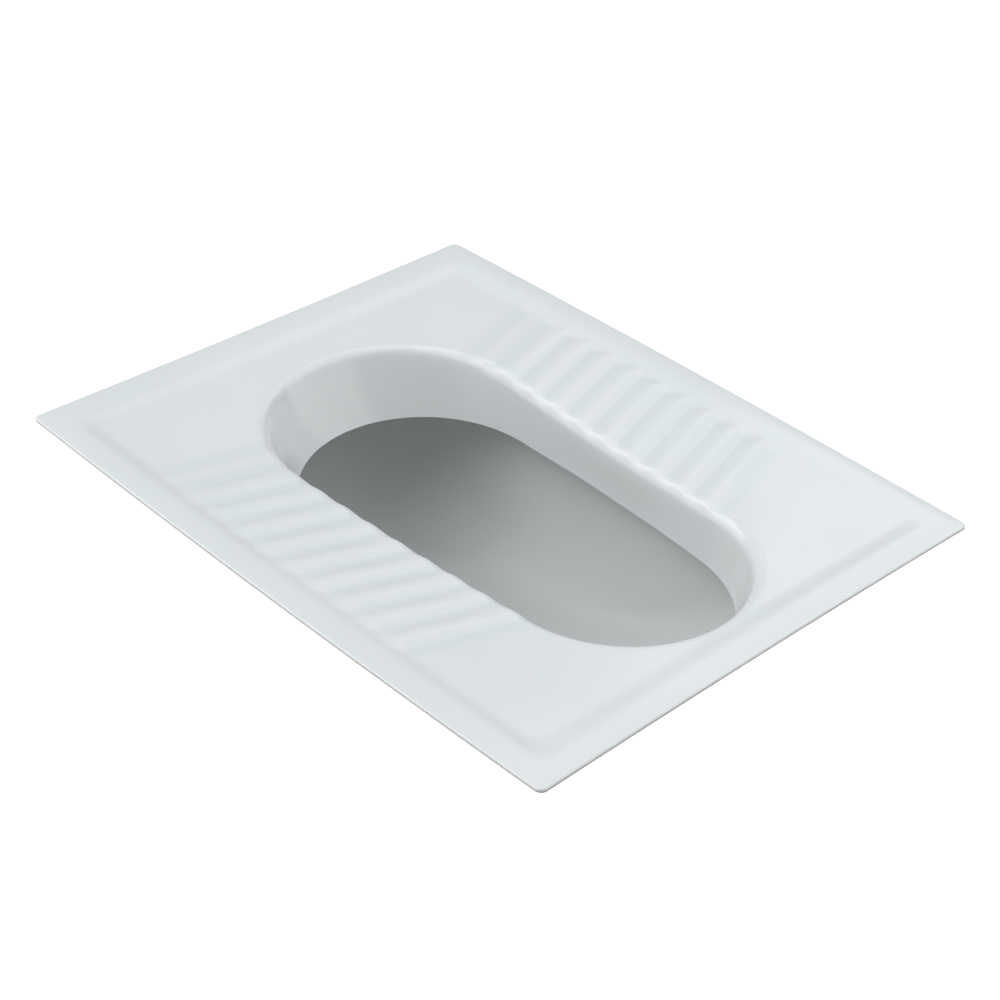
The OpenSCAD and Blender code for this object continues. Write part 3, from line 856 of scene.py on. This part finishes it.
# Fired china without glaze, its grit and the iron specks in it
CHINA_DARK = (0.60, 0.565, 0.51, 1)
CHINA_LIGHT = (0.70, 0.675, 0.63, 1)
GRIT_BROWN = (0.36, 0.32, 0.27, 1)
GRIT_SHARE = 0.35
IRON_BROWN = (0.20, 0.13, 0.08, 1)

# What the glaze's colour is multiplied by: where it drifts deeper, and as painted shade in the valleys
# between the ribs and down the band
DEEPER = (0.93, 0.955, 0.975)
VALLEY_SHADE_TINT = (0.935, 0.95, 0.96)
BAND_SHADE_TINT = (1.01, 0.985, 0.98)
PIN_BROWN = (0.25, 0.19, 0.13, 1)

# Rubber and the grey bloom on it
RUBBER_BLACK = (0.018, 0.018, 0.019, 1)
RUBBER_BLOOM = (0.055, 0.055, 0.057, 1)


def add_node(tree, kind, inputs=(), **settings):
    """Adds a node; an input is given a value, or the socket that feeds it."""
    new = tree.nodes.new("ShaderNode" + kind)
    for key, value in settings.items():
        setattr(new, key, value)
    for key, value in dict(inputs).items():
        if isinstance(value, bpy.types.NodeSocket):
            tree.links.new(value, new.inputs[key])
        else:
            new.inputs[key].default_value = value
    return new


def ranged(tree, value, low, high, to_low, to_high):
    """A value carried from one range into another."""
    inputs = {"Value": value, "From Min": low, "From Max": high, "To Min": to_low, "To Max": to_high}
    return add_node(tree, "MapRange", inputs).outputs["Result"]


def mixed(tree, share, first, second):
    """A colour part of the way from one to another."""
    return add_node(tree, "Mix", {0: share, 6: first, 7: second}, data_type="RGBA").outputs[2]


def times(tree, first, second):
    """The product of two values."""
    return add_node(tree, "Math", {0: first, 1: second}, operation="MULTIPLY").outputs[0]


def tinted(tree, colour, tint):
    """A colour times a tint."""
    return add_node(tree, "VectorMath", {0: colour, 1: tint}, operation="MULTIPLY").outputs[0]


def shader_group(name, inputs, outputs):
    """Opens a node group with these sockets and gives its tree, its inputs and its end."""
    tree = bpy.data.node_groups.new(name, "ShaderNodeTree")
    for way, sockets in (("INPUT", inputs), ("OUTPUT", outputs)):
        for socket, kind in sockets:
            tree.interface.new_socket(name=socket, in_out=way, socket_type="NodeSocket" + kind)
    return tree, tree.nodes.new("NodeGroupInput").outputs, tree.nodes.new("NodeGroupOutput").inputs


def noise(tree, place, scale, detail=2):
    """Cloudy noise between 0 and 1."""
    given = {"Vector": place, "Scale": scale, "Detail": detail}
    return add_node(tree, "TexNoise", given).outputs["Fac"]


def bare_china_group():
    """Unglazed fired china: warm, matt, with fine grit and a few iron specks."""
    tree, _, end = shader_group(
        "bare china", (), (("Colour", "Color"), ("Roughness", "Float"), ("Height", "Float")),
    )
    place = add_node(tree, "TexCoord").outputs["Object"]
    clouds = ranged(tree, noise(tree, place, 14, 3), 0.3, 0.7, 0, 1)
    colour = mixed(tree, clouds, CHINA_DARK, CHINA_LIGHT)
    grit = ranged(tree, noise(tree, place, 900, 2), 0.42, 0.34, 0, GRIT_SHARE)
    colour = mixed(tree, grit, colour, GRIT_BROWN)
    cells = add_node(tree, "TexVoronoi", {"Vector": place, "Scale": 70})
    specks = ranged(tree, cells.outputs["Distance"], 0.06, 0.03, 0, 0.8)
    colour = mixed(tree, specks, colour, IRON_BROWN)
    tree.links.new(colour, end["Colour"])
    tree.links.new(ranged(tree, grit, 0, GRIT_SHARE, 0.62, 0.8), end["Roughness"])
    tree.links.new(noise(tree, place, 450, 4), end["Height"])
    return tree


def glaze_group(bare_china):
    """Glaze over china: faint drift of tone, painted shade between the ribs and down the band, pin specks,
    and its bare end.
    """
    tree, given, end = shader_group(
        "glaze over china",
        (("Glaze", "Color"), ("Roughness", "Float")),
        (("Colour", "Color"), ("Roughness", "Float"), ("Glazed", "Float"), ("Normal", "Vector")),
    )
    place = add_node(tree, "TexCoord").outputs["Object"]
    drift = ranged(tree, noise(tree, place, 8), 0.3, 0.7, 0, 0.5)
    colour = mixed(tree, drift, given["Glaze"], tinted(tree, given["Glaze"], DEEPER))
    # Painted shade: darker in the valleys between the ribs, and a warmer shaded tint down the lip and band
    painted_shade = add_node(tree, "Attribute", attribute_name="painted_shade").outputs["Fac"]
    colour = mixed(tree, ranged(tree, painted_shade, 0, 1, 0, 1), colour, tinted(tree, given["Glaze"], VALLEY_SHADE_TINT))
    colour = mixed(tree, ranged(tree, painted_shade, 0, -1, 0, 1), colour, tinted(tree, given["Glaze"], BAND_SHADE_TINT))
    cells = add_node(tree, "TexVoronoi", {"Vector": place, "Scale": 42})
    rare = add_node(tree, "SeparateColor", {0: cells.outputs["Color"]}).outputs[0]
    pins = times(
        tree,
        ranged(tree, cells.outputs["Distance"], 0.022, 0.012, 0, 0.6),
        ranged(tree, rare, 0.70, 0.72, 0, 1),
    )
    colour = mixed(tree, pins, colour, PIN_BROWN)
    # bare is 1 on unglazed china, and low on the deck's edge also where bare china is painted in as shade
    bare = add_node(tree, "Attribute", attribute_name="bare").outputs["Fac"]
    frayed = ranged(tree, noise(tree, place, 160), 0, 1, -0.2, 0.2)
    ragged = add_node(tree, "Math", {0: bare, 1: frayed})
    bare = ranged(tree, ragged.outputs[0], 0.42, 0.58, 0, 1)
    china = add_node(tree, "Group", node_tree=bare_china).outputs
    colour = mixed(tree, bare, colour, china["Colour"])
    shine = add_node(tree, "Math", {0: given["Roughness"], 1: ranged(tree, drift, 0, 0.5, -0.02, 0.03)})
    rough = add_node(tree, "Mix", {0: bare, 2: shine.outputs[0], 3: china["Roughness"]})
    fine = times(tree, noise(tree, place, 210), 0.06)
    peel = add_node(tree, "Math", {0: noise(tree, place, 38, 1), 1: fine})
    height = add_node(tree, "Mix", {0: bare, 2: peel.outputs[0], 3: china["Height"]})
    bump = add_node(tree, "Bump", {"Height": height.outputs[0], "Strength": 0.35, "Distance": 0.0002})
    glazed = add_node(tree, "Math", {0: 1.0, 1: bare}, operation="SUBTRACT")
    tree.links.new(colour, end["Colour"])
    tree.links.new(rough.outputs[0], end["Roughness"])
    tree.links.new(glazed.outputs[0], end["Glazed"])
    tree.links.new(bump.outputs["Normal"], end["Normal"])
    return tree


def new_material(name):
    """A material with its tree and its principled shader."""
    material = bpy.data.materials.new(name)
    material.use_nodes = True
    return material, material.node_tree, material.node_tree.nodes["Principled BSDF"].inputs


BARE_CHINA = bare_china_group()
GLAZE = glaze_group(BARE_CHINA)


def glazed_china(name, colour, roughness, coat):
    """China with a glaze of this colour and roughness, and a share of a smooth coat over it."""
    material, tree, shader = new_material(name)
    glaze = add_node(tree, "Group", node_tree=GLAZE)
    glaze.inputs["Glaze"].default_value = (*colour, 1)
    glaze.inputs["Roughness"].default_value = roughness
    tree.links.new(glaze.outputs["Colour"], shader["Base Color"])
    tree.links.new(glaze.outputs["Roughness"], shader["Roughness"])
    tree.links.new(glaze.outputs["Normal"], shader["Normal"])
    tree.links.new(times(tree, glaze.outputs["Glazed"], coat), shader["Coat Weight"])
    shader["Coat Roughness"].default_value = roughness / 2
    shader["Specular IOR Level"].default_value = coat / 2
    shader["IOR"].default_value = 1.5
    return material


def unglazed_china(name):
    """China without glaze, matt and a little gritty."""
    material, tree, shader = new_material(name)
    china = add_node(tree, "Group", node_tree=BARE_CHINA).outputs
    bump = add_node(tree, "Bump", {"Height": china["Height"], "Strength": 0.4, "Distance": 0.0002})
    tree.links.new(china["Colour"], shader["Base Color"])
    tree.links.new(china["Roughness"], shader["Roughness"])
    tree.links.new(bump.outputs["Normal"], shader["Normal"])
    shader["Specular IOR Level"].default_value = 0.3
    return material


def seal_rubber(name):
    """Moulded black rubber with a grey bloom."""
    material, tree, shader = new_material(name)
    place = add_node(tree, "TexCoord").outputs["Object"]
    bloom = ranged(tree, noise(tree, place, 60, 4), 0.4, 0.75, 0, 1)
    tree.links.new(mixed(tree, bloom, RUBBER_BLACK, RUBBER_BLOOM), shader["Base Color"])
    tree.links.new(ranged(tree, bloom, 0, 1, 0.42, 0.62), shader["Roughness"])
    bump = add_node(tree, "Bump", {"Height": noise(tree, place, 700), "Strength": 0.3, "Distance": 0.0001})
    tree.links.new(bump.outputs["Normal"], shader["Normal"])
    return material


# ------------------------------------------------------------------ camera, floor and light

# The photograph's camera: focal length for its 1000 px frame, place, bearing, height and tilt
FOCAL_PX = 2204.15
FRAME_PX = 1000
SENSOR = 36.0
CAMERA_AZ = -0.78208
CAMERA_EL = 0.61146
CAMERA_ROLL = 0.04481
CAMERA_SHIFT = Vector((-0.016303, -0.052513, 3.775854)) * DECK_W


def photo_camera():
    """Stands the camera where the photograph was taken from."""
    back = Vector((
        math.sin(CAMERA_AZ) * math.cos(CAMERA_EL),
        -math.cos(CAMERA_AZ) * math.cos(CAMERA_EL),
        math.sin(CAMERA_EL),
    ))
    forward = -back
    right = forward.cross(Vector((0, 0, 1))).normalized()
    down = forward.cross(right)
    level = Matrix((right, down, forward))
    turn = Matrix.Rotation(CAMERA_ROLL, 3, "Z") @ level
    place = -(turn.transposed() @ CAMERA_SHIFT) + Vector((0, 0, DECK_T))
    lens = bpy.data.cameras.new("camera")
    lens.sensor_width = SENSOR
    lens.lens = FOCAL_PX / FRAME_PX * SENSOR
    lens.clip_start = 0.05
    camera = bpy.data.objects.new("camera", lens)
    bpy.context.scene.collection.objects.link(camera)
    axes = Matrix((turn[0], -turn[1], -turn[2])).transposed()
    camera.matrix_world = Matrix.Translation(place) @ axes.to_4x4()
    bpy.context.scene.camera = camera


# Brightness of the surround, then each lamp's bearing from the rear, height, reach and brightness
SKY = 0.28
LAMP_SPREAD = 1.12       # a lamp's size as a share of its reach
LAMPS = (
    ("right_lamp", 90, 58, 2.4, 0.30),
    ("front_right_lamp", 135, 30, 2.0, 0.36),
    ("low_rear_left_lamp", 315, 30, 4.4, 0.50),
    ("rear_left_lamp", 315, 58, 4.4, 0.47),
)


def lamp(name, place, size, power):
    """A soft square lamp that points at the deck."""
    light = bpy.data.lights.new(name, "AREA")
    light.shape = "SQUARE"
    light.size = size
    light.energy = power
    lamp_object = bpy.data.objects.new(name, light)
    bpy.context.scene.collection.objects.link(lamp_object)
    lamp_object.location = place
    aim = Vector(place).to_track_quat("Z", "Y")
    lamp_object.rotation_euler = aim.to_euler()
    lamp_object.visible_camera = False


def studio():
    """A pale surround and four large soft lamps."""
    world = bpy.data.worlds.new("studio")
    bpy.context.scene.world = world
    world.use_nodes = True
    nodes = world.node_tree.nodes
    links = world.node_tree.links
    nodes.clear()
    path = nodes.new("ShaderNodeLightPath")
    either = nodes.new("ShaderNodeMath")
    either.operation = "MAXIMUM"
    links.new(path.outputs["Is Camera Ray"], either.inputs[0])
    links.new(path.outputs["Is Transmission Ray"], either.inputs[1])
    strength = nodes.new("ShaderNodeMapRange")
    strength.inputs["To Min"].default_value = SKY
    strength.inputs["To Max"].default_value = 1.0
    links.new(either.outputs[0], strength.inputs["Value"])
    sky = nodes.new("ShaderNodeBackground")
    sky.inputs["Color"].default_value = (1, 1, 1, 1)
    links.new(strength.outputs["Result"], sky.inputs["Strength"])
    out = nodes.new("ShaderNodeOutputWorld")
    links.new(sky.outputs["Background"], out.inputs["Surface"])
    for name, bearing, height, reach, brightness in LAMPS:
        level = reach * math.cos(math.radians(height))
        place = (
            level * math.sin(math.radians(bearing)),
            level * math.cos(math.radians(bearing)),
            reach * math.sin(math.radians(height)),
        )
        lamp(name, place, LAMP_SPREAD * reach, brightness * (math.pi * reach) ** 2)


FLOOR_Z = 0.012
FLOOR_GAP = 0.0006
FLOOR_REACH = 5          # times the pan's own length and width
FLOOR_GREY = (0.8, 0.8, 0.8, 1)
FLOOR_GLOW = 0.35        # seen by the camera alone, so that the floor looks white


def floor():
    """A pale floor that the pan is let into, level with just below the deck's top."""
    piece = start("floor")
    deck_ring(-FLOOR_GAP, FLOOR_Z)
    pick("VERT", lambda mesh: mesh.verts)
    bpy.ops.mesh.extrude_edges_move()
    bpy.ops.transform.resize(value=(FLOOR_REACH, FLOOR_REACH, 1), center_override=(0, 0, FLOOR_Z))
    leave(piece)
    material = bpy.data.materials.new("floor")
    material.use_nodes = True
    nodes = material.node_tree.nodes
    links = material.node_tree.links
    nodes.clear()
    path = nodes.new("ShaderNodeLightPath")
    facing = nodes.new("ShaderNodeNewGeometry")
    matt = nodes.new("ShaderNodeBsdfDiffuse")
    matt.inputs["Color"].default_value = FLOOR_GREY
    glow = nodes.new("ShaderNodeEmission")
    seen = nodes.new("ShaderNodeMath")
    seen.operation = "MULTIPLY"
    seen.inputs[1].default_value = FLOOR_GLOW
    links.new(path.outputs["Is Camera Ray"], seen.inputs[0])
    links.new(seen.outputs[0], glow.inputs["Strength"])
    both = nodes.new("ShaderNodeAddShader")
    links.new(matt.outputs[0], both.inputs[0])
    links.new(glow.outputs[0], both.inputs[1])
    clear = nodes.new("ShaderNodeBsdfTransparent")
    mix = nodes.new("ShaderNodeMixShader")
    links.new(facing.outputs["Backfacing"], mix.inputs[0])
    links.new(both.outputs[0], mix.inputs[1])
    links.new(clear.outputs[0], mix.inputs[2])
    out = nodes.new("ShaderNodeOutputMaterial")
    links.new(mix.outputs[0], out.inputs["Surface"])
    piece.data.materials.append(material)


# ------------------------------------------------------------------ the pan

deck_glaze = glazed_china("deck glaze", (0.740, 0.782, 0.796), 0.24, 0.75)
rim_glaze = glazed_china("rim glaze", (0.70, 0.73, 0.73), 0.24, 0.8)
# The bowl's glaze colour is darker and greyer than the deck's: painted shade for the dim inside of the
# bowl
bowl_glaze = glazed_china("bowl glaze with painted shade", (0.60, 0.62, 0.62), 0.5, 0.2)
raw_china = unglazed_china("raw china")
rubber = seal_rubber("seal rubber")

for node in NODES.values():
    node.data.materials.clear()
    node.data.materials.append(rim_glaze)

outside = pan_outside(LUTE_GAP)
pieces = [
    (china_top(), ("deck", "rolled_lip", "inner_band"), "deck_glaze", deck_glaze),
    (bowl(), ("bowl",), "bowl_glaze", bowl_glaze),
    (flush_rim(), ("flush_rim",), "rim_glaze", rim_glaze),
    (outlet_spigot(), ("outlet_spigot",), "raw_china", raw_china),
    (outlet_seal(), ("outlet_seal",), "seal_rubber", rubber),
    (rear_waterway(), ("rear_waterway",), "raw_china", raw_china),
    (inlet_horn(), ("inlet_horn",), "raw_china", raw_china),
    (inlet_seal(), ("inlet_seal",), "seal_rubber", rubber),
    (front_foot(outside), ("front_foot",), "raw_china", raw_china),
]
for side, sign in (("left", -1), ("right", 1)):
    pieces.append((rear_foot(side, sign, outside), ("rear_foot_" + side,), "raw_china", raw_china))
    for end, y in (("front", WEB_FRONT_Y), ("rear", WEB_REAR_Y)):
        place = side + "_" + end
        pieces.append((deck_web(place, sign, y, outside), ("deck_web_" + place,), "raw_china", raw_china))
bpy.data.meshes.remove(outside.data)

for piece, nodes, slot, finish in pieces:
    piece.data.materials.clear()
    piece.data.materials.append(finish)
    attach(piece, "root")
    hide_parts(*nodes)

photo_camera()
studio()
floor()
scene = bpy.context.scene
scene.view_settings.view_transform = "Standard"
